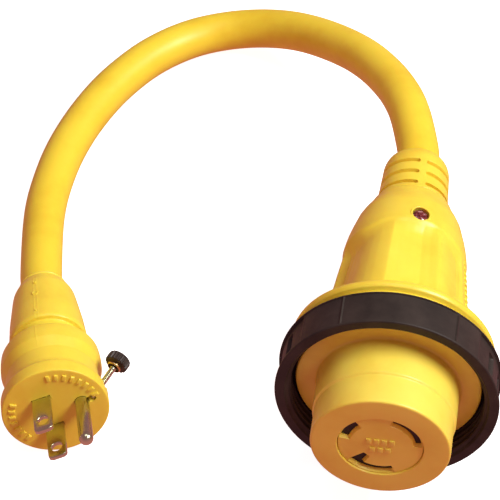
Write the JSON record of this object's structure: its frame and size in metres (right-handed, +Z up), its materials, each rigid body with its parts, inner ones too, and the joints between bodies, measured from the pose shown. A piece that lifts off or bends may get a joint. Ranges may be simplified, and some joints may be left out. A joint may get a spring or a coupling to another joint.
{
  "type": "power adapter cord",
  "caption": "Short heavy adapter cable from a straight-blade plug to a larger locking connector with a threaded sealing ring, for a trailer or caravan hook-up",
  "frame": {"origin": "centre of the base of the box around the plug and the connector, on the surface the adapter lies on", "axes": "+Z up; both mating faces look towards -Y; +X runs from the plug to the connector"},
  "size_m": [0.1648, 0.2426, 0.0728],
  "materials": {
    "yellow_moulding": "moulded yellow vinyl, softly glossy",
    "cable_jacket": "yellow vinyl cable jacket, faintly grained",
    "black_ring": "moulded black nylon",
    "nickel_plate": "nickel-plated brass",
    "brass": "bare brass",
    "steel": "bright steel",
    "white_nylon": "natural nylon",
    "lamp_body": "clear lamp body",
    "lens_plastic": "translucent red lens",
    "resistor_body": "tan resistor",
    "black_insulation": "black wire insulation",
    "white_insulation": "white wire insulation",
    "green_insulation": "green wire insulation"
  },
  "bodies": {
    "root": {"plug_body": "yellow_moulding", "plug_boot": "yellow_moulding", "line_blade": "nickel_plate", "neutral_blade": "nickel_plate", "ground_pin": "nickel_plate", "cable_jacket": "cable_jacket", "connector_grip": "yellow_moulding", "strain_relief": "yellow_moulding", "connector_nose": "yellow_moulding", "contact_face": "yellow_moulding", "blade_carrier": "white_nylon", "line_crimp": "brass", "neutral_crimp": "brass", "ground_crimp": "brass", "line_wire_plug": "black_insulation", "neutral_wire_plug": "white_insulation", "ground_wire_plug": "green_insulation", "plug_cable_ferrule": "steel", "lock_screw_insert": "brass", "contact_housing": "white_nylon", "line_contact": "brass", "neutral_contact": "brass", "ground_contact": "brass", "line_terminal_screw": "steel", "neutral_terminal_screw": "steel", "ground_terminal_screw": "steel", "line_wire_connector": "black_insulation", "neutral_wire_connector": "white_insulation", "ground_wire_connector": "green_insulation", "connector_cable_ferrule": "steel", "indicator_lens": "lens_plastic", "indicator_lamp": "lamp_body", "lamp_resistor": "resistor_body", "lamp_lead_front": "steel", "lamp_lead_rear": "steel", "slip_washer": "white_nylon"},
    "locking_ring": {"locking_ring": "black_ring"},
    "screw_slider": {"lock_screw_washer": "brass"},
    "lock_screw": {"lock_screw_knob": "black_ring", "lock_screw_shank": "nickel_plate"}
  },
  "joints": [
    {"name": "ring_turn", "type": "hinge", "parent": "root", "child": "locking_ring", "pos_m": [0.04553, -0.03528, 0.0364], "axis": [-0.1323, -0.9912, 0], "continuous": true},
    {"name": "screw_travel", "type": "slide", "parent": "root", "child": "screw_slider", "axis": [-0.4856, -0.8669, -0.1124], "range_m": [-0.0042, 0.0009]},
    {"name": "screw_turn", "type": "hinge", "parent": "screw_slider", "child": "lock_screw", "pos_m": [-0.05123, -0.02896, 0.02279], "axis": [-0.4856, -0.8669, -0.1124], "range_deg": [-2160, 462.9]}
  ],
  "couplings": [
    {"joint": "screw_turn", "follows": "screw_travel", "rad_per_m": 8976}
  ]
}
